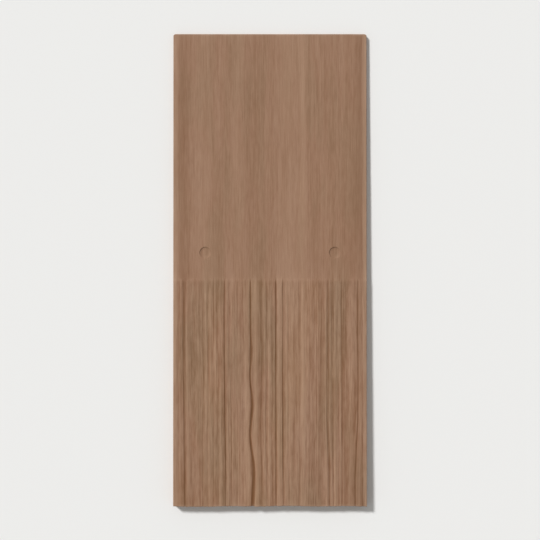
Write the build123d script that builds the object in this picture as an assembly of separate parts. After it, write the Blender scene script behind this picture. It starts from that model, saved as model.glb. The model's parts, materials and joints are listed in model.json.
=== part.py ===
from build123d import *
import os

# One moulded shake shingle: a tapered tile with a split-cedar weather face and a cored, ribbed back.
# It lies on its back. X runs across it, Y runs up the slope from the butt to the head, and Z is up.
# The origin is the centre of the outline on the resting plane. All sizes are in millimetres.

# Overall shape
shake_width = 229.0
shake_length = 559.0
butt_thickness = 16.0
head_thickness = 6.5
head_corner_radius = 3.0
wall_draft = 1.5
butt_wave = 1.0

# Weather face, which stands a little proud of the plain lap above it
grained_length = 266.0
grain_depth = 1.0
lap_ramp = 5.0
edge_radius = 0.8

# Split that wanders down the weather face
split_from_side = 93.0
split_width = 2.6
split_depth = 1.7
split_overrun = 6.0

# Cored back
skin = 4.0
rim = 4.5
rib = 2.5
pocket_columns = 4
pocket_rows = 10
pocket_corner_radius = 4.0

# Nail seats
nail_from_side = 38.0
nail_from_butt = 300.0
nail_seat_radius = 6.5
nail_seat_depth = 0.8
nail_boss_wall = 4.0

# How far a cutter stands out of what it cuts
overcut = 2.0

half_width = shake_width / 2
half_length = shake_length / 2
butt_y = -half_length
head_y = half_length
lap_y = butt_y + grained_length
fall = (butt_thickness - grain_depth - head_thickness) / shake_length

# Butt line: share of the width from the left side, share of butt_wave that the butt stands back there
butt_line = (
    (0.0, 0.5),
    (0.14, 0.0),
    (0.31, 0.6),
    (0.46, 0.2),
    (0.58, 1.0),
    (0.75, 0.3),
    (0.9, 0.8),
    (1.0, 0.2),
)

# Grain grooves: share of the width from the left side, width at the face, share of grain_depth
grain_grooves = (
    (0.063, 2.2, 0.90),
    (0.157, 1.4, 0.50),
    (0.266, 2.0, 0.80),
    (0.334, 1.4, 0.50),
    (0.456, 4.6, 0.60),
    (0.531, 2.0, 0.70),
    (0.572, 2.4, 0.95),
    (0.651, 1.6, 0.60),
    (0.738, 1.8, 0.60),
    (0.806, 2.0, 0.80),
    (0.876, 2.2, 0.85),
    (0.939, 2.4, 0.90),
)

# Split's route: share of grained_length up from the butt, sway to the right of its own straight line,
# share of split_width that it gapes there
split_route = (
    (-0.03, 1.3, 0.80),
    (0.07, 1.7, 0.85),
    (0.15, 2.8, 1.00),
    (0.22, 1.5, 0.90),
    (0.30, -1.3, 0.60),
    (0.38, -0.5, 0.80),
    (0.45, 1.1, 0.95),
    (0.51, -0.2, 0.85),
    (0.56, -1.7, 0.45),
    (0.62, -1.5, 0.60),
    (0.69, -0.4, 1.00),
    (0.76, -1.3, 0.50),
    (0.84, -1.4, 0.55),
    (1.00, -1.4, 0.45),
)


def face_height(y):
    """Height of the weather face's lands at y."""
    return butt_thickness - fall * (y - butt_y)


def lap_height(y):
    """Height of the plain lap at y."""
    return face_height(y) - grain_depth


def across(profile, reach):
    """A solid with this YZ profile, from -reach to reach across the tile."""
    return extrude(Plane.YZ * make_face(profile), reach, both=True)


def plan_prism():
    """The outline seen from above, with its slightly uneven butt, drafted so that it leaves its mould."""
    butt_points = [(-half_width + share * shake_width, butt_y + back * butt_wave) for share, back in butt_line]
    butt_edge = Spline(*butt_points)
    sides = Polyline(butt_points[-1], (half_width, head_y), (-half_width, head_y), butt_points[0])
    outline = make_face([*butt_edge.edges(), *sides.edges()])
    head_corners = outline.vertices().group_by(Axis.Y)[-1]
    outline = fillet(head_corners, head_corner_radius)
    return extrude(outline, butt_thickness + overcut, taper=wall_draft)


def side_prism():
    """The taper seen from the side, with the step down from the weather face to the lap."""
    ramp_end = lap_y + lap_ramp
    profile = Polyline(
        (butt_y - overcut, 0),
        (head_y + overcut, 0),
        (head_y + overcut, lap_height(head_y + overcut)),
        (ramp_end, lap_height(ramp_end)),
        (lap_y, face_height(lap_y)),
        (butt_y - overcut, face_height(butt_y - overcut)),
        close=True,
    )
    return across(profile, half_width + overcut)


def wedge_blank():
    """The solid tapered tile, with its upper edges worn round."""
    blank = plan_prism() & side_prism()
    tops = blank.faces().filter_by(lambda face: face.normal_at().Z > 0.5)
    walls = blank.faces().filter_by(lambda face: abs(face.normal_at().Z) < 0.5)
    wall_edges = walls.edges()
    worn_edges = [edge for edge in tops.edges() if edge in wall_edges]
    return fillet(worn_edges, edge_radius)


def nail_spots():
    """Where the two nails go: on the lap, just above the line that the next course covers."""
    nail_x = half_width - nail_from_side
    nail_y = butt_y + nail_from_butt
    return ((-nail_x, nail_y), (nail_x, nail_y))


def pocket_mouths():
    """Mouths of the moulded pockets, in rows and columns between the rim and the ribs."""
    pitch_x = (shake_width - 2 * rim + rib) / pocket_columns
    pitch_y = (shake_length - butt_wave - 2 * rim + rib) / pocket_rows
    mouth = RectangleRounded(pitch_x - rib, pitch_y - rib, pocket_corner_radius)
    grid = Pos(0, butt_wave / 2)
    return [grid * spot * mouth for spot in GridLocations(pitch_x, pitch_y, pocket_columns, pocket_rows)]


def under_skin():
    """Everything below the skin, which has one thickness under the lap all the way up the taper."""
    profile = Polyline(
        (butt_y, -overcut),
        (head_y, -overcut),
        (head_y, lap_height(head_y) - skin),
        (butt_y, lap_height(butt_y) - skin),
        close=True,
    )
    return across(profile, half_width)


def pocket_cores():
    """The mould's cores, which leave a solid boss standing under each nail seat."""
    cores = extrude(Sketch() + pocket_mouths(), butt_thickness)
    cores = cores & under_skin()
    for x, y in nail_spots():
        cores -= Pos(x, y) * extrude(Circle(nail_seat_radius + nail_boss_wall), butt_thickness)
    return cores


def grain_bars():
    """A V-shaped bar for each grain groove. It lies down the slope, from the lap's step past the butt."""
    run = grained_length + 2 * overcut
    start_y = lap_y + overcut
    section = Plane(origin=(0, start_y, face_height(start_y)), x_dir=(1, 0, 0), z_dir=(0, -1, fall))
    bars = []
    for share, width, depth_share in grain_grooves:
        x = -half_width + share * shake_width
        depth = depth_share * grain_depth
        spread = width / 2 * (depth + overcut) / depth
        notch = Polyline((x, -depth), (x + spread, overcut), (x - spread, overcut), close=True)
        bars.append(extrude(section * make_face(notch), run))
    return bars


def split_strip():
    """The split seen from above, between two splines that draw together and apart."""
    home_x = split_from_side - half_width
    widest_half = split_width / 2
    route = [(home_x + sway, share * grained_length, gape * widest_half) for share, sway, gape in split_route]
    last_x, last_rise, last_half = route[-1]
    route.append((last_x, last_rise + lap_ramp + split_overrun, last_half))
    left = Spline(*[(x - half, butt_y + rise) for x, rise, half in route])
    right = Spline(*[(x + half, butt_y + rise) for x, rise, half in route])
    return make_face([*left.edges(), *right.edges(), Line(left @ 0, right @ 0), Line(left @ 1, right @ 1)])


def split_cutter():
    """The split as a cutter, whose floor keeps one depth below the weather face."""
    start_y = butt_y - grained_length / 2
    above_floor = Polyline(
        (start_y, face_height(start_y) - split_depth),
        (head_y, face_height(head_y) - split_depth),
        (head_y, face_height(start_y) + overcut),
        (start_y, face_height(start_y) + overcut),
        close=True,
    )
    return extrude(split_strip(), butt_thickness + overcut) & across(above_floor, half_width)


def nail_cups():
    """Shallow round seats for the nail heads, square to the lap."""
    cups = []
    for x, y in nail_spots():
        seat = Plane(origin=(x, y, lap_height(y) - nail_seat_depth), x_dir=(1, 0, 0), z_dir=(0, fall, 1))
        cups.append(extrude(seat * Circle(nail_seat_radius), nail_seat_depth + overcut))
    return cups


def shake_tile():
    tile = wedge_blank() - pocket_cores()
    tile -= grain_bars()
    tile -= split_cutter()
    tile -= nail_cups()
    return tile


def main():
    os.makedirs("parts", exist_ok=True)
    tile = shake_tile()
    export_step(tile, "parts/shake_tile.step")
    box = tile.bounding_box()
    print("volume in cubic centimetres:", round(tile.volume / 1000, 1))
    print("lowest corner:", [round(value, 3) for value in box.min])
    print("highest corner:", [round(value, 3) for value in box.max])


main()
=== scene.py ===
# %% [markdown]
# A moulded shake shingle
#
# The real shingle is one piece of plastic and mineral compound, pressed in a steel mould. The upper half
# of that mould was taken from hand-split cedar, so the face has the splits, ridges and fine grain of the
# wood. The solid that is loaded here already has the true size, taper, cored back, main grooves and the
# long wandering split. Blender adds what only the eye needs: fine grain, worn edges and streaked colour,
# with painted shade in the hollows and painted highlights on the crests and edges.

import json
import math

import bmesh
import bpy
import numpy as np
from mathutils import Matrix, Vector
from mathutils.bvhtree import BVHTree


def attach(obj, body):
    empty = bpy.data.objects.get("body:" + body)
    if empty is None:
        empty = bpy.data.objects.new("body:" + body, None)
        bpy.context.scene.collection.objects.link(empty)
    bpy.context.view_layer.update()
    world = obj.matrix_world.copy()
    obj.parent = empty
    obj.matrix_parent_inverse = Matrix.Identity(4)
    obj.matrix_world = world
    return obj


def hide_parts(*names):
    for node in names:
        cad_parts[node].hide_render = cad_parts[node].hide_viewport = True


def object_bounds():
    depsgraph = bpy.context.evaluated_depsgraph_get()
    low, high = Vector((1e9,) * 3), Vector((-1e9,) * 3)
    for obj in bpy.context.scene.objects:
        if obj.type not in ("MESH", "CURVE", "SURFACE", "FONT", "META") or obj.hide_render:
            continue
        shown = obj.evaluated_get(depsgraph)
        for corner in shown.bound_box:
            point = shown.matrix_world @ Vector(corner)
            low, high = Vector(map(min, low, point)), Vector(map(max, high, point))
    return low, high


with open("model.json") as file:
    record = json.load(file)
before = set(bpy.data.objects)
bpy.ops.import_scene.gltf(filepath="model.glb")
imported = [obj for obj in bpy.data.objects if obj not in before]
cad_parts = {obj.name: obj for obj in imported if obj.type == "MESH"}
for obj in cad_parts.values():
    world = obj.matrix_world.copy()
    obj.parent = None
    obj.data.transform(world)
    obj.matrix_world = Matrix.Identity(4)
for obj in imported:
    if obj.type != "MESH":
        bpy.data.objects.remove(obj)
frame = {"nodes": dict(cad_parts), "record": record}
cad_low, cad_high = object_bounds()
mm = 0.001


def in_mm(length, digits=2):
    """A length in millimetres, rounded for printing."""
    return round(float(length) / mm, digits)


print("solid box in mm:", [in_mm(v) for v in (*cad_low, *cad_high)])

# %% [markdown]
# Feeling the solid
#
# Most sizes that the finish depends on are in the solid, so they are felt there: the slope, the step, the
# grooves, the split, both ends and the draft. A ray works like a fingertip: it comes down on the solid,
# or at it from one end, and says where it touched. Typing the sizes in again would be shorter, but the
# finish would then miss the solid as soon as one of them changed.

# %% Rays that touch the solid
solid = frame["nodes"]["shake_tile"]
half_width = cad_high.x
butt_y = cad_low.y
head_y = cad_high.y
far_off = 50 * mm

touch = BVHTree.FromPolygons([v.co for v in solid.data.vertices], [p.vertices for p in solid.data.polygons])


def height(x, y):
    """Height of the upper surface at a place, or 0 beside the shingle."""
    place = touch.ray_cast(Vector((x, y, far_off)), Vector((0, 0, -1)))[0]
    return place.z if place else 0.0


def end_wall(x, z, side):
    """How far along the butt (side -1) or the head (side 1) stands at x, at height z."""
    start = Vector((x, side * (head_y + far_off), z))
    return touch.ray_cast(start, Vector((0, -side, 0)))[0].y


print("solid faces to touch:", len(solid.data.polygons))

# %% [markdown]
# The upper surface is two planes with one slope: the weather face, and the plain lap a little lower. A
# walk up a land of the face finds the slope, the step between the planes and how far it drops.

# %% Measure the weather face and the lap
side_margin = 2 * mm
ray_count = 1801
across = np.linspace(-half_width + side_margin, half_width - side_margin, ray_count)
low_check = butt_y + 40 * mm
high_check = butt_y + 200 * mm
land_x = max(across[::10], key=lambda x: height(x, low_check))
slope = (height(land_x, high_check) - height(land_x, low_check)) / (high_check - low_check)


def face_height(y):
    """Height of the weather face's lands, along its own plane."""
    return height(land_x, low_check) + slope * (y - low_check)


walk_step = 0.25 * mm
first_drop = 0.04 * mm
last_drop = 0.02 * mm
walk = np.arange(high_check, head_y - 10 * mm, walk_step)
drop = np.array([face_height(y) - height(land_x, y) for y in walk])
lap_drop = float(np.median(drop))
ramp_start = float(walk[np.argmax(drop > first_drop)])
ramp_end = float(walk[np.argmax(drop > lap_drop - last_drop)])
print("slope:", round(slope, 5), "step in mm:", in_mm(lap_drop))
print("ramp from the butt in mm:", in_mm(ramp_start - butt_y, 1), in_mm(ramp_end - butt_y, 1))

# %% [markdown]
# A line of rays across the face finds the grooves. The split is the one that is deeper than all the rest,
# and because it wanders, it is followed row by row.

# %% Find the grooves and the split
groove_at_least = 0.06 * mm
split_at_least = 1.3 * mm


def hollows(y):
    """Each hollow that crosses the line at y, as (place, width, depth)."""
    depth = np.array([face_height(y) - height(x, y) for x in across])
    steps = np.flatnonzero(np.diff((depth > groove_at_least).astype(int)))
    found = []
    for start, end in zip(steps[::2], steps[1::2]):
        left, right = across[start], across[end + 1]
        lowest = depth[start + 1 : end + 1].max()
        found.append(((left + right) / 2, right - left, lowest))
    return found


middle_y = (butt_y + ramp_start) / 2
grooves = [hollow for hollow in hollows(middle_y) if hollow[2] < split_at_least]
deepest = max(depth for place, width, depth in grooves)
end_margin = 3 * mm
split_row_count = 90
split_rows = np.linspace(butt_y + end_margin, ramp_start - end_margin, split_row_count)
split_hits = [max(hollows(y), key=lambda hollow: hollow[2]) for y in split_rows]
split_x, split_widths, split_depths = np.array(split_hits).T
split_home = float(split_x.mean())
split_depth = float(np.median(split_depths))
print("grooves:", len(grooves), "deepest in mm:", in_mm(deepest))
print("split in mm: home", in_mm(split_home, 1), "sway", in_mm(split_x.max() - split_x.min(), 1))
print("split width in mm:", in_mm(split_widths.min(), 1), "to", in_mm(split_widths.max(), 1))

# %% [markdown]
# The butt is not straight, and the head has small round corners, so both ends are touched from outside.
# Two touches, one above the other, give the draft: how much the walls lean in so that the shingle leaves
# its mould.

# %% Measure the ends and the draft
near_floor = 1 * mm
higher_up = 5 * mm
draft = (end_wall(0, higher_up, -1) - end_wall(0, near_floor, -1)) / (higher_up - near_floor)
print("draft in degrees:", round(math.degrees(math.atan(draft)), 2))


def end_line(x, side):
    """The outline at the floor: the butt (side -1) or the head (side 1), for a whole row of x values."""
    inside = half_width - 2 * draft * near_floor
    reached = [end_wall(max(-inside, min(inside, v)), near_floor, side) for v in x]
    return np.array(reached) + side * draft * near_floor


# %% [markdown]
# The weave of the grid
#
# The face starts as one grid whose columns run up the grain. Even spacing would waste faces on the plain
# lap and starve the grooves, so columns and rows crowd in where the shape turns fast: at the edges, at
# the grooves, at the step and round the nail seats. The crowd functions below say how tightly they stand.
# Where the nail seats are is in the record, and a ray from just above the floor of one finds its wall.

# %% Nail seats from the record
mounts = {mount["name"]: mount for mount in frame["record"]["mounts"]}
seats = [Vector(mounts[name]["pos_m"]) for name in ("nail_seat_left", "nail_seat_right")]
seat_up = Vector(mounts["nail_seat_left"]["axis"])
seat_probe = seats[0] + seat_up * 0.3 * mm
seat_radius = (touch.ray_cast(seat_probe, Vector((1, 0, 0)))[0] - seat_probe).length
print("nail seat radius in mm:", in_mm(seat_radius))

# %% Columns up the grain and rows across it
column_count = 580
row_count = 140
fine_steps = 40000


def near(value, centre, reach):
    """1 at the centre, fading to 0 a few reaches away."""
    return np.exp(-(((value - centre) / reach) ** 2))


def spread(start, end, count, crowd):
    """count + 1 places from start to end, closer together where crowd is larger."""
    fine = np.linspace(start, end, fine_steps + 1)
    total = np.cumsum(crowd(fine))
    share = (total - total[0]) / (total[-1] - total[0])
    return np.interp(np.linspace(0, 1, count + 1), share, fine)


def column_crowd(x):
    """How tightly columns stand at x: most at the edges, then at the split and the grooves."""
    crowd = 1 + 5 * near(np.abs(x), half_width, 1.3 * mm) + 2.5 * near(x, split_home, 1.6 * mm)
    for place, width, depth in grooves:
        crowd += 0.8 * near(x, place, width)
    return crowd


def row_crowd(y):
    """How tightly rows stand at y: few on the lap, many at both ends, at the step and at the seats."""
    crowd = np.where(y < ramp_end, 1.0, 0.14)
    crowd += 12 * near(y, butt_y, 1.5 * mm) + 8 * near(y, head_y, 2.5 * mm)
    crowd += 1.2 * near(y, (ramp_start + ramp_end) / 2, 3 * mm)
    return crowd + 3.0 * near(y, seats[0].y, 1.3 * seat_radius)


columns = spread(-half_width, half_width, column_count, column_crowd)
rows = spread(butt_y, head_y, row_count, row_crowd)
for name, places in (("column", columns), ("row", rows)):
    gaps = np.diff(places)
    print(name, "spacing in mm:", in_mm(gaps.min(), 3), "to", in_mm(gaps.max(), 3))

# %% [markdown]
# Grain that bends
#
# In split cedar the grain runs round whatever stood in its way, so the lines beside the split follow it,
# and the others drift a little by themselves. Each vertex keeps its place across the grain, which is the
# column it belongs to, and the column itself bends. Grooves and colour then need to know only the column,
# and they bend along with it for free. The clearest drifts are set after the photograph, each with its
# groove's distance from the left side, how far round it is felt, and how far aside it stands near the
# butt, halfway up and near the top.

# %% Bend the columns
random = np.random.default_rng(seed=23)
grain, up = np.meshgrid(columns, rows)
left_side = -half_width
drift_rows = (butt_y + 35 * mm, butt_y + 105 * mm, butt_y + 172 * mm)
drifts = (
    (14.4, 7.0, -0.5, -0.9, -2.4),
    (60.9, 7.0, 2.0, 0.6, 0.1),
    (104.4, 6.0, 0.7, -0.8, 0.4),
    (121.6, 5.0, 0.3, 0.4, 0.0),
    (131.0, 5.0, -1.0, -1.0, -1.2),
    (184.6, 6.0, 0.9, -1.1, -1.4),
    (200.6, 6.0, -1.0, -1.0, -1.3),
    (215.0, 7.5, 0.4, 3.8, 4.0),
)


def soft_noise(x, y, cell_x, cell_y):
    """Smooth swells between -1 and 1, about cell_x wide and cell_y long."""
    count_x = int(2 * half_width / cell_x) + 3
    count_y = int((head_y - butt_y) / cell_y) + 3
    knots = random.uniform(-1, 1, (count_y, count_x))
    across_at = (x + half_width) / cell_x
    up_at = (y - butt_y) / cell_y
    i = np.clip(across_at.astype(int), 0, count_x - 2)
    j = np.clip(up_at.astype(int), 0, count_y - 2)
    s = across_at - i
    t = up_at - j
    s = s * s * (3 - 2 * s)
    t = t * t * (3 - 2 * t)
    lower = knots[j, i] * (1 - s) + knots[j, i + 1] * s
    upper = knots[j + 1, i] * (1 - s) + knots[j + 1, i + 1] * s
    return lower * (1 - t) + upper * t


sway = np.interp(up, split_rows, split_x - split_home)
edge_hold = 1 - near(np.abs(grain), half_width, 14 * mm)
place_x = grain + sway * near(grain, split_home, 5.5 * mm)
place_x += 0.5 * mm * soft_noise(grain, up, 26 * mm, 75 * mm) * edge_hold
at_the_edge = near(np.abs(grain), half_width, 5 * mm)
for from_left, reach, *aside in drifts:
    felt = near(grain, left_side + from_left * mm, reach * mm) * (1 - at_the_edge)
    place_x += np.interp(up, drift_rows, aside) * mm * felt
print("widest bend in mm:", in_mm(np.abs(place_x - grain).max()))

# %% [markdown]
# Relief of the weather face
#
# Four things make the face: lands that stand at slightly different heights, because the wood split along
# its growth rings; the main grooves, one wall steeper than the other; fine lines and crests that come and
# go along the grain; and broad swells. The two outer lands are given their own depth and tilt, and fall
# away a little towards the sides. All of it cuts down from the solid's surface, so the face never
# outgrows its box. Bump could fake the fine lines, but they catch real shadow only when they are real
# shape.

# %% Lands between the grooves
general_low = 0.42 * mm
borders = sorted([place for place, width, depth in grooves] + [split_home])
land_of = np.searchsorted(borders, grain)
land_low = random.uniform(-0.16, 0.16, len(borders) + 1) * mm
land_tilt = random.uniform(-0.35, 0.35, len(borders) + 1) * mm
land_low[0], land_tilt[0] = -0.05 * mm, -0.5 * mm
land_low[-1], land_tilt[-1] = -0.05 * mm, 0.3 * mm
land_edges = np.array([-half_width, *borders, half_width])
across_land = (grain - land_edges[land_of]) / np.diff(land_edges)[land_of]
relief = general_low + land_low[land_of] + land_tilt[land_of] * (across_land - 0.5)
print("lands:", len(land_low), "lowest in mm:", in_mm(relief.max()))

# %% Main grooves
def v_shape(offset, lean):
    """0 at both sides of a line (offset 0 and 1), and 1 where it is deepest, at offset lean."""
    return np.clip(np.where(offset < lean, offset / lean, (1 - offset) / (1 - lean)), 0, 1)


for place, width, depth in grooves:
    lean = random.uniform(0.25, 0.75)
    strength = 0.64 + 0.25 * soft_noise(grain * 0 + place, up, 60 * mm, 70 * mm)
    offset = (grain - place) / (1.25 * width) + 0.5
    relief += depth * (depth / deepest) * strength * v_shape(offset, lean) ** 1.4
print("grooves reach in mm:", in_mm(relief.max()))

# %% [markdown]
# The split is a crack that opened and closed as it wandered. Its walls are soft, so it is a wide shallow
# valley with a narrow crack in it, and the wood on its right stands up in a thin lip that the light
# catches, with a shallow dip past it. At its foot, near the butt, the right wall has broken away and the
# crack is wider.

# %% The split with its lip
valley_depth = 0.50 * mm
crack_share = 0.8
lip_height = 0.34 * mm
lip_place = 6.2 * mm
dip_depth = 0.30 * mm
dip_place = 10.8 * mm
foot_length = 34 * mm
foot_shift = 0.6 * mm
gape = np.interp(up, split_rows, split_widths)
openness = gape / split_widths.max()
from_split = grain - split_home
foot = near(up, butt_y, foot_length)
crack_width = gape * (1.15 + 0.6 * openness**2 + 0.7 * foot)
crack = np.clip(1.2 - 2 * np.abs(from_split - foot_shift * foot) / crack_width, 0, 1)
relief += (split_depth - general_low - valley_depth) * crack_share * crack
relief += valley_depth * openness * near(from_split, -0.2 * mm, 1.3 * mm + 0.6 * gape)
relief -= lip_height * near(from_split, lip_place, 1.7 * mm)
relief += dip_depth * near(from_split, dip_place, 2.8 * mm)
print("split reaches in mm:", in_mm(relief.max()))

# %% [markdown]
# The clearest lines and crests of the photographed shingle are listed, at places measured across its
# face. Each has its distance from the left side, its width, how far it cuts in (or stands out, if less
# than 0) and the stretch of the face that it covers, from the butt (0) to the step (1). Random ones fill
# in the rest, from one fixed seed. Each line draws its own wander and lean in turn, so a new one in the
# middle of the table would change all that follow it.

# %% Lines and crests seen in the photograph
face_length = ramp_end - butt_y
seen_lines = (
    (2.4, 3.4, -0.34, -0.2, 1.2),
    (7.0, 2.2, 0.14, -0.2, 1.2),
    (9.6, 1.8, -0.10, -0.2, 0.6),
    (13.2, 6.2, 0.44, -0.2, 1.2),
    (18.5, 3.5, -0.12, -0.2, 1.2),
    (24.0, 3.0, 0.24, -0.2, 1.2),
    (29.5, 3.5, -0.12, -0.2, 1.2),
    (38.5, 2.4, -0.12, -0.2, 1.2),
    (41.0, 2.4, 0.22, -0.2, 1.2),
    (44.6, 3.0, -0.36, -0.2, 1.2),
    (48.3, 1.8, 0.20, -0.2, 1.2),
    (50.4, 2.4, -0.30, -0.2, 1.2),
    (53.3, 1.5, 0.14, -0.2, 0.7),
    (55.5, 2.5, -0.20, -0.2, 1.2),
    (61.6, 4.4, 0.10, -0.2, 1.2),
    (64.6, 2.2, -0.22, -0.2, 0.6),
    (67.8, 3.2, 0.40, -0.2, 0.8),
    (66.2, 2.4, 0.32, 0.55, 1.2),
    (71.0, 2.4, -0.16, -0.2, 1.2),
    (76.8, 1.6, 0.08, -0.2, 1.2),
    (88.0, 5.0, -0.28, -0.2, 1.2),
    (107.6, 1.8, -0.02, -0.2, 0.7),
    (111.4, 3.2, 0.38, -0.2, 1.2),
    (113.6, 2.2, -0.26, -0.2, 0.8),
    (117.8, 2.6, 0.24, -0.2, 1.2),
    (122.0, 2.6, 0.24, -0.2, 1.2),
    (125.4, 4.2, -0.26, -0.2, 1.2),
    (134.0, 3.4, -0.42, -0.2, 1.2),
    (140.0, 3.0, -0.12, -0.2, 0.9),
    (148.8, 1.8, 0.10, -0.2, 1.2),
    (153.8, 4.8, -0.44, -0.2, 1.2),
    (158.6, 2.4, -0.22, -0.2, 0.8),
    (166.5, 4.0, 0.12, -0.2, 1.2),
    (171.6, 2.8, -0.34, -0.2, 1.2),
    (175.8, 2.2, 0.24, -0.2, 1.2),
    (180.4, 2.8, -0.34, -0.2, 1.2),
    (184.2, 2.4, 0.44, -0.2, 0.5),
    (185.8, 2.4, -0.30, 0.3, 1.2),
    (189.3, 1.8, 0.30, -0.2, 0.6),
    (192.5, 3.0, -0.38, -0.2, 1.2),
    (196.8, 1.8, 0.42, -0.2, 0.7),
    (198.0, 1.4, -0.14, -0.2, 0.7),
    (200.2, 2.4, 0.20, -0.2, 1.2),
    (224.8, 2.2, 0.46, -0.2, 0.5),
    (209.0, 4.0, -0.22, -0.2, 1.2),
    (219.8, 2.6, -0.16, -0.2, 0.7),
    (211.8, 1.6, 0.04, 0.4, 1.2),
    (225.4, 3.0, -0.36, -0.2, 1.2),
)
print("lines in the table:", len(seen_lines))


# %% Lay them on the face
def lay_line(place, width, depth, start, end):
    """How much a line adds to the relief. It fades out at both ends, and one side may be the steeper."""
    share_up = (up - butt_y) / face_length
    along = np.clip(2.2 * (1 - np.abs(2 * share_up - start - end) / (end - start)), 0, 1)
    wander = 0.35 * mm * soft_noise(grain * 0 + place, up, 40 * mm, 45 * mm)
    lean = random.choice((0.22, 0.5, 0.78))
    offset = (grain - place - wander) / (1.5 * width) + 0.5
    return depth * along * v_shape(offset, lean)


for from_left, width, depth, start, end in seen_lines:
    relief += lay_line(left_side + from_left * mm, width * mm, depth * mm, start, end)
print("deepest place with these lines, in mm:", in_mm(relief.max()))

# %% Random fine lines and broad swells
line_count = 220
for _ in range(line_count):
    place = random.uniform(-half_width + side_margin, half_width - side_margin)
    width = random.uniform(0.7, 1.8) * mm
    depth = random.choice((1, 1, -1)) * random.uniform(0.04, 0.13) * mm
    middle = random.uniform(-0.1, 1.1)
    reach = random.uniform(0.2, 0.7)
    relief += lay_line(place, width, depth, middle - reach, middle + reach)

swells = ((0.13, 17, 140), (0.08, 5.5, 80), (0.07, 2.2, 45))
for rise, wide, long in swells:
    relief += rise * mm * soft_noise(grain, up, wide * mm, long * mm)
relief = np.maximum(relief, 0)
print("mean relief in mm:", in_mm(relief[: row_count // 2].mean()))

# %% [markdown]
# The grain ends where the shingle is covered once it is laid: a plain lap lets what comes over it lie
# flat. The relief fades out over the ramp, and only the faintest swell of the mould is left beyond it.

# %% Fade the grain out at the lap
lap_swell = 0.03 * mm
fade_before_ramp = 3 * mm
grained = np.clip((ramp_end - up) / (ramp_end - ramp_start + fade_before_ramp), 0, 1)
relief = relief * grained + (1 - grained) * lap_swell * (1 + soft_noise(grain, up, 30 * mm, 90 * mm))
base = face_height(up) - lap_drop * np.clip((up - ramp_start) / (ramp_end - ramp_start), 0, 1)
print("relief on the lap in mm:", in_mm(relief[-10].max(), 3))

# %% [markdown]
# Ends, worn edges and painted edge highlights
#
# Grooves run out through the butt, so its edge is nicked at each of them and ragged in between. Every
# upper edge is a little round, as the mould's corners are. The roundness is a drop that depends on how
# far a vertex stands from the edge, and the crowded rows and columns there give it enough vertices to
# turn through. The edges are paler too, partly from wear and partly as a painted highlight, in a strip
# that is twice as wide at the left side, which faces the sun, as at the right.

# %% Bring the grid's edges to the outline
edge_radius = 0.8 * mm
butt_reach = 22 * mm
head_reach = 12 * mm
wear = edge_radius * (1 + 0.35 * soft_noise(grain, up, 16 * mm, 22 * mm))
edge_z = base - wear
ragged = 0.45 * relief[0] + 0.3 * mm * np.abs(soft_noise(columns, columns * 0, 5 * mm, 1))
lean_in = draft * edge_z
place_x *= (half_width - lean_in) / half_width
butt_pull = np.clip(1 - (up - butt_y) / butt_reach, 0, 1) ** 2
head_pull = np.clip(1 - (head_y - up) / head_reach, 0, 1) ** 2
butt_outline = end_line(place_x[0], -1)
head_outline = end_line(place_x[-1], 1)
place_y = up + (butt_outline + ragged - butt_y + lean_in[0]) * butt_pull
place_y += (head_outline - head_y - lean_in[-1]) * head_pull
print("the butt's edge sways by, in mm:", in_mm(place_y[0].max() - place_y[0].min(), 1))

# %% Round the edges, and paint them paler as wear and highlight
from_side = np.clip(wear - (np.abs(place_x[:, -1:]) - np.abs(place_x)), 0, wear)
from_end = np.clip(wear - np.minimum(place_y - place_y[0], place_y[-1] - place_y), 0, wear)
from_edge = np.minimum(np.hypot(from_side, from_end), wear)
rounding = wear - np.sqrt(wear**2 - from_edge**2)
place_z = np.minimum(base - relief - rounding, cad_high.z)

# A pale strip along the edges: partly wear, partly a painted highlight, twice as wide on the left side,
# which faces the sun.
wear_and_highlight_reach = 2.4 * mm
side_distance = np.where(grain < 0, 0.5, 1) * (half_width - np.abs(grain))
end_distance = np.minimum(1.3 * (up - butt_y), head_y - up)
wear_and_highlight = near(np.minimum(side_distance, end_distance), 0, wear_and_highlight_reach)
wear_and_highlight *= np.clip(0.65 + 0.55 * soft_noise(grain, up, 9 * mm, 14 * mm), 0, 1)
print("height range in mm:", in_mm(place_z.min()), "to", in_mm(place_z.max()))

# %% [markdown]
# From numbers to a skin
#
# One grid operator makes the sheet, and each vertex then goes to the place that was worked out for it.
# Six things are written on the vertices for the material: the place along the grain, so that colour bends
# with the grooves; how deep the vertex lies below its neighbourhood, so that painted shade can darken the
# hollows and a painted highlight can lighten the crests; how pale the edge there is, partly from wear and
# partly as a painted highlight; how light it is; how golden (or grey, if less than 0); and whether it is
# on a plain part. The lap and the back are calmer in colour, since no grain is moulded there. The broad
# tones are listed like the lines, each with its distance from the left side, its reach and how much it
# lightens; the pale ones at the two side edges are painted highlights. The lower corners are a little
# darker, the wood is golden round the split's foot and greyer at the right side, and noise does the rest.

# %% How deep each vertex lies below its neighbourhood
neighbours = 20
full_hollow = 0.5 * mm
window = np.ones(2 * neighbours + 1) / (2 * neighbours + 1)
padded = np.pad(relief, ((0, 0), (neighbours, neighbours)), mode="edge")
smooth_relief = np.array([np.convolve(row, window, mode="valid") for row in padded])
# This drives painted shade in the hollows, with more painted shade in the crack near the butt, and a
# painted highlight on the crests.
hollow = np.clip((relief - smooth_relief) / full_hollow + 1.2 * crack * foot, -1, 2)
print("hollow from", round(float(hollow.min()), 2), "to", round(float(hollow.max()), 2))

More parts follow.
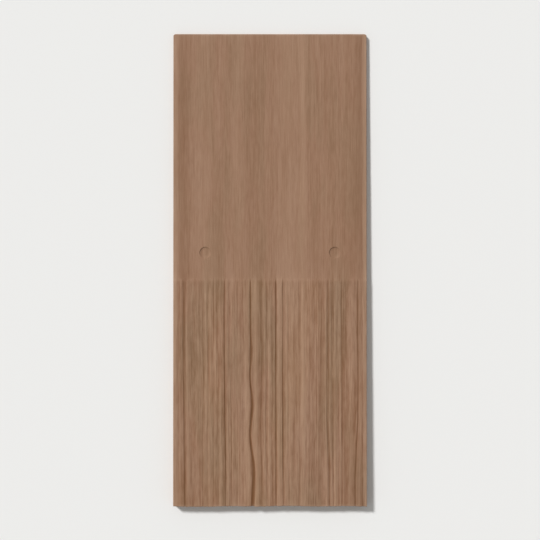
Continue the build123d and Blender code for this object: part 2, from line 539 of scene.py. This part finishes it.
# %% Broad tones with painted edge highlights, and golden wood
# The pale bands at 3.5 and 226 mm, at the two side edges, are painted highlights.
broad_tones_and_highlights = (
    (3.5, 3, 0.20),
    (13, 7, -0.22),
    (36, 10, 0.14),
    (76, 6, 0.18),
    (97, 11, -0.06),
    (136, 12, 0.20),
    (153, 4, 0.30),
    (217, 8, -0.22),
    (226, 3, 0.35),
)
lightness = np.zeros_like(grain)
for from_left, reach, amount in broad_tones_and_highlights:
    lightness += amount * near(grain, left_side + from_left * mm, reach * mm)
lightness *= 1 + 0.5 * soft_noise(grain, up, 40 * mm, 60 * mm)
lightness -= 0.16 * near(np.abs(grain), half_width, 50 * mm) * near(up, butt_y, 70 * mm)

golden = 0.8 * near(from_split, 0, 14 * mm) * near(up, butt_y, 50 * mm)
golden -= 0.7 * near(grain, half_width, 16 * mm)
golden += 0.7 * soft_noise(grain, up, 24 * mm, 75 * mm) * grained
print("lightness from", round(float(lightness.min()), 2), "to", round(float(lightness.max()), 2))

# %% Make the sheet
form = bmesh.new()
bmesh.ops.create_grid(form, x_segments=column_count, y_segments=row_count, size=1)
grain_layer = form.verts.layers.float_vector.new("grain")
written = {
    "hollow": hollow,
    "wear_and_highlight": wear_and_highlight,
    "lightness": lightness,
    "golden": golden,
    "plain": 1 - grained,
}
layers = {name: form.verts.layers.float.new(name) for name in written}
for v in form.verts:
    i = round((v.co.x + 1) / 2 * column_count)
    j = round((v.co.y + 1) / 2 * row_count)
    v[grain_layer] = (grain[j, i], up[j, i], 0)
    for name, values in written.items():
        v[layers[name]] = values[j, i]
    v.co = (place_x[j, i], place_y[j, i], place_z[j, i])
outline = [edge for edge in form.edges if edge.is_boundary]
print("sheet faces:", len(form.faces), "outline edges:", len(outline))

# %% [markdown]
# Nail seats
#
# Each seat is a shallow round cup that tells the roofer where to nail. The grid can't follow a circle, so
# its faces are taken away there, and the edge of the hole is extruded inwards, ring by ring: first onto
# the lip of the cup, then down its wall and over its floor. Extruding keeps every new ring joined to the
# sheet.

# %% Cut the seats and pull their rings
lip = 0.3 * mm
clear_of_seat = 1.2 * mm
cup_rings = (
    (lip * 0.3, 0.91),
    (0, 0.66),
    (0, 0.2),
    (-0.2 * mm, 0),
    (-0.55 * seat_radius, 0),
)


def extrude_ring(edges):
    """Extrudes a ring of edges, and gives the new vertices and the new ring."""
    pulled = bmesh.ops.extrude_edge_only(form, edges=edges)["geom"]
    verts = [part for part in pulled if isinstance(part, bmesh.types.BMVert)]
    ring = [part for part in pulled if isinstance(part, bmesh.types.BMEdge) and part.is_boundary]
    return verts, ring


def seat_floor(seat, y):
    """Height of the cup's floor, which is square to the seat's axis."""
    return seat.z - (y - seat.y) * seat_up.y / seat_up.z


def pull_ring(edges, seat, radius, rise):
    """Extrudes a ring of edges to this radius, at a share of the way from the cup's floor up to the lap."""
    verts, ring = extrude_ring(edges)
    for v in verts:
        turn = math.atan2(v.co.y - seat.y, v.co.x - seat.x)
        v.co.x = seat.x + radius * math.cos(turn)
        v.co.y = seat.y + radius * math.sin(turn)
        floor = seat_floor(seat, v.co.y)
        top = face_height(v.co.y) - lap_drop - lap_swell
        v.co.z = floor + (top - floor) * rise
        v[grain_layer] = (v.co.x, v.co.y, 0)
        v[layers["hollow"]] = 0
    return ring


for seat in seats:
    cleared = seat_radius + clear_of_seat
    inside = [f for f in form.faces if (f.calc_center_median() - seat).xy.length < cleared]
    around = dict.fromkeys(edge for f in inside for edge in f.edges)
    hole = [edge for edge in around if any(face not in inside for face in edge.link_faces)]
    bmesh.ops.delete(form, geom=inside, context="FACES")
    ring = pull_ring(hole, seat, seat_radius + lip, 1)
    for outwards, rise in cup_rings:
        ring = pull_ring(ring, seat, seat_radius + outwards, rise)
    bmesh.ops.edgeloop_fill(form, edges=ring)
    print("nail seat:", len(inside), "faces out,", len(ring), "edges in each ring")

# %% [markdown]
# Walls
#
# The sheet's outline is extruded down to the floor in a few rings. Each ring stands out a little further
# than the one above it, by the draft. On the butt the nicks of the grooves run down the wall and fade, as
# they do on split wood whose end has been cut across.

# %% Pull the walls down to the floor
wall_shares = (0.9, 0.66, 0.4, 0.16, 0.0)
nick_at_floor = 0.3
hollow_kept = 0.8
wear_and_highlight_kept = 0.4
same_place = 0.01 * mm
above = 1.0
ring = outline
for share in wall_shares:
    verts, ring = extrude_ring(ring)
    nick_before = nick_at_floor + (1 - nick_at_floor) * above
    nick_after = nick_at_floor + (1 - nick_at_floor) * share
    for v in verts:
        z_before = v.co.z
        v.co.z = z_before * share / above
        out = draft * (z_before - v.co.z)
        v.co.x *= (half_width - draft * v.co.z) / (half_width - draft * z_before)
        v.co.x = max(-half_width, min(half_width, v.co.x))
        grain_x, grain_y, _ = v[grain_layer]
        if grain_y < butt_y + same_place:
            v.co.y -= out + np.interp(grain_x, columns, ragged) * (nick_before - nick_after)
        if grain_y > head_y - same_place:
            v.co.y += out
        # The painted shade and the pale edge, part wear and part painted highlight, fade down the walls.
        v[layers["hollow"]] *= hollow_kept
        v[layers["wear_and_highlight"]] *= wear_and_highlight_kept
    above = share
print("walls:", len(wall_shares), "rings of", len(ring), "edges")

# %% [markdown]
# The cored back
#
# Nothing is seen of the back once the shingle is laid, and the solid's pockets, ribs and bosses are
# already as the mould makes them. So they come over from a copy of its mesh, with the doubled vertices
# merged. The outer part of the rim and the upper half of the skin are left out of that copy, since the
# new skin takes their place. The flat face that the shingle rests on is made anew too, because it has to
# meet the new walls. While it is filled, the form is scaled up to millimetres, so that the fill's own
# fixed tolerance is small beside the distance between its closest vertices.

# %% Copy the pockets and bosses
back = bmesh.new()
back.from_mesh(solid.data)
bmesh.ops.remove_doubles(back, verts=back.verts, dist=same_place)
within_rim = 3 * mm
within_skin = 2 * mm
boss_reach = seat_radius + 5 * mm


def in_the_back(face):
    """True for the pockets' walls and ceilings and for all of the bosses."""
    middle = face.calc_center_median()
    on_floor = all(v.co.z < same_place for v in face.verts)
    in_boss = any((middle - seat).xy.length < boss_reach for seat in seats)
    if on_floor and not in_boss:
        return False
    for v in face.verts:
        in_rim = abs(v.co.x) > half_width - within_rim or abs(v.co.y) > head_y - within_rim
        if in_rim or v.co.z > face_height(v.co.y) - lap_drop - within_skin:
            return False
    return True


bmesh.ops.delete(back, geom=[f for f in back.faces if not in_the_back(f)], context="FACES")
copied = bpy.data.meshes.new("copied_back")
back.to_mesh(copied)
back.free()
form.from_mesh(copied)
bpy.data.meshes.remove(copied)
print("faces with the back:", len(form.faces))

# %% Close the resting face
floor_touch = 0.001 * mm
bmesh.ops.scale(form, vec=[1 / mm] * 3, verts=form.verts)
open_edges = [edge for edge in form.edges if edge.is_boundary]
bmesh.ops.triangle_fill(form, use_beauty=True, use_dissolve=False, edges=open_edges, normal=(0, 0, -1))
bmesh.ops.scale(form, vec=[mm] * 3, verts=form.verts)
bmesh.ops.recalc_face_normals(form, faces=form.faces)
for v in form.verts:
    along_x, along_y, _ = v[grain_layer]
    # The back's vertices came without a place along the grain, and are known by that.
    of_the_back = along_x == 0 and along_y == 0
    if of_the_back:
        v[layers["plain"]] = 1
    if of_the_back or v.co.z < cad_low.z + floor_touch:
        along_x, along_y = v.co.x, v.co.y
    v[grain_layer] = (along_x, along_y, v.co.z)
print("edges still open:", len([edge for edge in form.edges if not edge.is_manifold]))

# %% Turn the form into the finished piece
skin = bpy.data.meshes.new("weathered_shake")
form.to_mesh(skin)
form.free()
skin.polygons.foreach_set("use_smooth", [True] * len(skin.polygons))
skin.set_sharp_from_angle(angle=math.radians(40))
shake = bpy.data.objects.new("weathered_shake", skin)
bpy.context.scene.collection.objects.link(shake)
skin.calc_loop_triangles()
print("triangles:", len(skin.loop_triangles))

# %% [markdown]
# The finish
#
# The compound is coloured right through, and its colour is streaked on purpose so that no two shingles
# match. Four tones lie in long bands up the grain: olive tan, brown, red brown and a greyer pink.
# Narrower streaks, threads, flecks and hairs lie over them, each dark on one side of its noise and pale
# on the other. A flat colour with a wood picture on it would be quicker, but noise that is stretched
# along the grain has no seams, and it follows every bend because it reads the grain attribute.

# %% Noise that is stretched up the grain
finish = bpy.data.materials.new("streaked_compound")
finish.use_nodes = True
nodes = finish.node_tree.nodes
links = finish.node_tree.links
shader = nodes["Principled BSDF"]


def painted(name):
    """The values that were written on the vertices under this name."""
    node = nodes.new("ShaderNodeAttribute")
    node.attribute_name = name
    return node


grain_place = painted("grain")


def grain_noise(wide, long, detail, start):
    """Noise with cells this wide and long, in metres. start moves it, so that no two layers match."""
    stretch = nodes.new("ShaderNodeMapping")
    stretch.inputs["Location"].default_value = (start, start * 2, start * 3)
    stretch.inputs["Scale"].default_value = (1 / wide, 1 / long, 0.5 / wide)
    links.new(grain_place.outputs["Vector"], stretch.inputs["Vector"])
    noise = nodes.new("ShaderNodeTexNoise")
    noise.inputs["Scale"].default_value = 1
    noise.inputs["Detail"].default_value = detail
    links.new(stretch.outputs["Vector"], noise.inputs["Vector"])
    return noise.outputs["Fac"]


print("values on the vertices: grain,", ", ".join(written))

# %% Bands of four tones
olive_tan = (0.241, 0.144, 0.083)
brown = (0.270, 0.153, 0.091)
red_brown = (0.284, 0.153, 0.093)
grey_pink = (0.318, 0.184, 0.119)
band_stops = ((0.36, olive_tan), (0.46, brown), (0.54, red_brown), (0.64, grey_pink))


def ramp(value, stops):
    """A colour ramp from (position, colour) stops."""
    node = nodes.new("ShaderNodeValToRGB")
    links.new(value, node.inputs["Fac"])
    while len(node.color_ramp.elements) < len(stops):
        node.color_ramp.elements.new(0.5)
    for element, (position, colour) in zip(node.color_ramp.elements, stops):
        element.position = position
        element.color = (*colour, 1)
    return node.outputs["Color"]


bands = grain_noise(21 * mm, 130 * mm, 2, 3.1)
tone = ramp(bands, band_stops)
print("tones in the bands:", len(band_stops))

# %% [markdown]
# The other colours are laid over the bands one after the other. Each row of the table has the value that
# says where the colour goes, the value's two ends, how much of the colour lies at the second end (at the
# first there is none), and the colour.

# %% The other colours, and where they go
# The dark colour is the dark of the grain and also painted shade in the hollows; the pale one is the pale
# of the grain and also a painted highlight on the crests and side edges.
dark_grain_and_painted_shade = (0.122, 0.045, 0.010)
pale_grain_and_painted_highlight = (0.388, 0.244, 0.158)
# The pale edge colour is partly wear and partly a painted highlight.
pale_wear_and_highlight = (0.410, 0.272, 0.188)
golden_brown = (0.288, 0.158, 0.062)
grey_tan = (0.260, 0.168, 0.117)
plain_brown = (0.284, 0.161, 0.099)

painted_hollow_shading = painted("hollow").outputs["Fac"]
on_edge_wear_and_highlight = painted("wear_and_highlight").outputs["Fac"]
in_broad_tone_and_highlight = painted("lightness").outputs["Fac"]
in_gold = painted("golden").outputs["Fac"]
on_plain_part = painted("plain").outputs["Fac"]
streaks = grain_noise(4.2 * mm, 150 * mm, 2, 7.7)
threads = grain_noise(1.3 * mm, 70 * mm, 2, 12.9)
flecks = grain_noise(2.6 * mm, 15 * mm, 3, 29.4)
hairs = grain_noise(0.45 * mm, 30 * mm, 2, 17.7)
coats = (
    (in_gold, 0.0, 1.0, 0.40, golden_brown),
    (in_gold, 0.0, -1.0, 0.40, grey_tan),
    (streaks, 0.50, 0.75, 0.28, dark_grain_and_painted_shade),
    (streaks, 0.50, 0.25, 0.34, pale_grain_and_painted_highlight),
    (threads, 0.50, 0.75, 0.25, dark_grain_and_painted_shade),
    (threads, 0.50, 0.25, 0.29, pale_grain_and_painted_highlight),
    (flecks, 0.50, 0.75, 0.33, dark_grain_and_painted_shade),
    (flecks, 0.50, 0.25, 0.37, pale_grain_and_painted_highlight),
    (hairs, 0.50, 0.72, 0.30, dark_grain_and_painted_shade),
    (hairs, 0.50, 0.28, 0.30, pale_grain_and_painted_highlight),
    (on_plain_part, 0.0, 1.0, 0.50, plain_brown),
    # Broad tones, with painted highlights at the two side edges.
    (in_broad_tone_and_highlight, 0.0, -1.0, 1.0, dark_grain_and_painted_shade),
    (in_broad_tone_and_highlight, 0.0, 1.0, 1.0, pale_grain_and_painted_highlight),
    # Painted shade in the hollows and in the crack near the butt, and a painted highlight on the crests.
    (painted_hollow_shading, 0.0, 1.0, 0.58, dark_grain_and_painted_shade),
    (painted_hollow_shading, 1.0, 2.0, 0.45, dark_grain_and_painted_shade),
    (painted_hollow_shading, 0.0, -0.8, 0.38, pale_grain_and_painted_highlight),
    # Pale edges: partly wear, partly a painted highlight.
    (on_edge_wear_and_highlight, 0.0, 1.0, 0.55, pale_wear_and_highlight),
)
print("coats of colour:", len(coats))


# %% Lay them over the bands
def level(value, low, high, to_low, to_high):
    """Spreads the part of a value between low and high over to_low to to_high."""
    node = nodes.new("ShaderNodeMapRange")
    links.new(value, node.inputs["Value"])
    for name, number in zip(("From Min", "From Max", "To Min", "To Max"), (low, high, to_low, to_high)):
        node.inputs[name].default_value = number
    return node.outputs["Result"]


def lay_over(tone, colour, share):
    """Lays a share of a colour over the tone."""
    # A Mix node has sockets for each kind of value, and these are the ones that mix colours.
    share_socket, lower_socket, upper_socket, mixed_socket = 0, 6, 7, 2
    node = nodes.new("ShaderNodeMix")
    node.data_type = "RGBA"
    links.new(share, node.inputs[share_socket])
    links.new(tone, node.inputs[lower_socket])
    node.inputs[upper_socket].default_value = (*colour, 1)
    return node.outputs[mixed_socket]


for value, start, end, most, colour in coats:
    tone = lay_over(tone, colour, level(value, start, end, 0.0, most))
links.new(tone, shader.inputs["Base Color"])
print("colour nodes:", len(nodes))

# %% [markdown]
# The gloss of the compound is low and a little uneven, duller in its dark streaks. The finest grain,
# thinner than the grid can hold, is a bump that rises and falls by about a tenth of a millimetre.

# %% Roughness and bump
gloss = level(streaks, 0.3, 0.7, 0.54, 0.70)
links.new(gloss, shader.inputs["Roughness"])
shader.inputs["Specular IOR Level"].default_value = 0.2

pores_to_a_metre = 1100


def bump(height, strength, distance):
    """A bump node that reads its height from a noise. distance is the height of a full step, in metres."""
    node = nodes.new("ShaderNodeBump")
    node.inputs["Strength"].default_value = strength
    node.inputs["Distance"].default_value = distance
    links.new(height, node.inputs["Height"])
    return node


fibre_bump = bump(grain_noise(0.6 * mm, 22 * mm, 3, 21.3), 0.9, 0.28 * mm)
pores = nodes.new("ShaderNodeTexNoise")
pores.inputs["Scale"].default_value = pores_to_a_metre
pores.inputs["Detail"].default_value = 3
links.new(grain_place.outputs["Vector"], pores.inputs["Vector"])
pore_bump = bump(pores.outputs["Fac"], 0.5, 0.16 * mm)
links.new(fibre_bump.outputs["Normal"], pore_bump.inputs["Normal"])
links.new(pore_bump.outputs["Normal"], shader.inputs["Normal"])
skin.materials.append(finish)
print("nodes in the finish:", len(nodes))

# %% [markdown]
# The finished skin now stands for the solid, which stays hidden in the file for collisions.

# %% Put the skin in the solid's place
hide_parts("shake_tile")
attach(shake, "root")
print("piece:", shake.name, "in the place of", solid.name)

# %% [markdown]
# Floor, light and camera
#
# The shingle lies on a plain pale floor. A soft sun stands high on the upper left, where the light in the
# photograph comes from, so that the grooves keep one bright and one dark side. The sky fills the shadows.
# The two together light a level surface so that its colour renders about as it is written. A lamp near by
# would do too, but its light falls off, and a sun lights the whole wide floor alike.

# %% Floor
floor_reach = 20
below_shingle = 0.1 * mm
ground = bmesh.new()
bmesh.ops.create_grid(ground, x_segments=1, y_segments=1, size=floor_reach)
floor_mesh = bpy.data.meshes.new("floor")
bmesh.ops.translate(ground, vec=(0, 0, -below_shingle), verts=ground.verts)
ground.to_mesh(floor_mesh)
ground.free()
floor = bpy.data.objects.new("floor", floor_mesh)
bpy.context.scene.collection.objects.link(floor)
floor_paint = bpy.data.materials.new("pale_floor")
floor_paint.use_nodes = True
paint_inputs = floor_paint.node_tree.nodes["Principled BSDF"].inputs
paint_inputs["Base Color"].default_value = (0.80, 0.80, 0.79, 1)
paint_inputs["Roughness"].default_value = 0.9
floor_mesh.materials.append(floor_paint)
print("floor reaches in m:", floor_reach, "and lies below the shingle by, in mm:", in_mm(below_shingle))

# %% Sun
sun_data = bpy.data.lights.new("soft_sun", "SUN")
sun_data.energy = 2.85
sun_data.angle = math.radians(10)
sun = bpy.data.objects.new("soft_sun", sun_data)
sun.location = (-2.2, 2.1, 3.3)
sun.rotation_euler = (-sun.location).to_track_quat("-Z", "Y").to_euler()
bpy.context.scene.collection.objects.link(sun)
print("sun above the floor in degrees:", round(math.degrees(math.asin(sun.location.normalized().z))))

# %% [markdown]
# The sky gives a weak, even fill. The camera sees a plain pale backdrop in its place, and so does whatever
# reflects or lets light through, so that the background can be pale without more light on the shingle.

# %% Sky
sky = bpy.data.worlds.new("pale_sky")
sky.use_nodes = True
sky_nodes = sky.node_tree.nodes
sky_links = sky.node_tree.links
fill = sky_nodes["Background"]
fill.inputs["Color"].default_value = (1.0, 0.99, 0.97, 1)
fill.inputs["Strength"].default_value = 0.38
backdrop = sky_nodes.new("ShaderNodeBackground")
backdrop.inputs["Color"].default_value = (0.86, 0.86, 0.86, 1)
rays = sky_nodes.new("ShaderNodeLightPath")
seen = rays.outputs["Is Camera Ray"]
for kind in ("Is Glossy Ray", "Is Transmission Ray"):
    either_ray = sky_nodes.new("ShaderNodeMath")
    either_ray.operation = "MAXIMUM"
    sky_links.new(seen, either_ray.inputs[0])
    sky_links.new(rays.outputs[kind], either_ray.inputs[1])
    seen = either_ray.outputs[0]
sky_mix = sky_nodes.new("ShaderNodeMixShader")
sky_links.new(seen, sky_mix.inputs[0])
sky_links.new(fill.outputs[0], sky_mix.inputs[1])
sky_links.new(backdrop.outputs[0], sky_mix.inputs[2])
sky_links.new(sky_mix.outputs[0], sky_nodes["World Output"].inputs["Surface"])
bpy.context.scene.world = sky
bpy.context.scene.view_settings.view_transform = "Standard"
print("fill strength of the sky:", round(fill.inputs["Strength"].default_value, 2))

# %% [markdown]
# The photograph looks straight down, with the butt towards its lower edge. The camera does the same, from
# far enough away that the walls hardly show.

# %% Camera
camera_data = bpy.data.cameras.new("camera")
camera_data.lens = 85
frame_share = 0.88
shown = (head_y - butt_y) / frame_share
camera = bpy.data.objects.new("camera", camera_data)
camera.location = (0, 0, shown / 2 * camera_data.lens / (camera_data.sensor_width / 2) + cad_high.z)
bpy.context.scene.collection.objects.link(camera)
bpy.context.scene.camera = camera
print("camera height in m:", round(camera.location.z, 2))
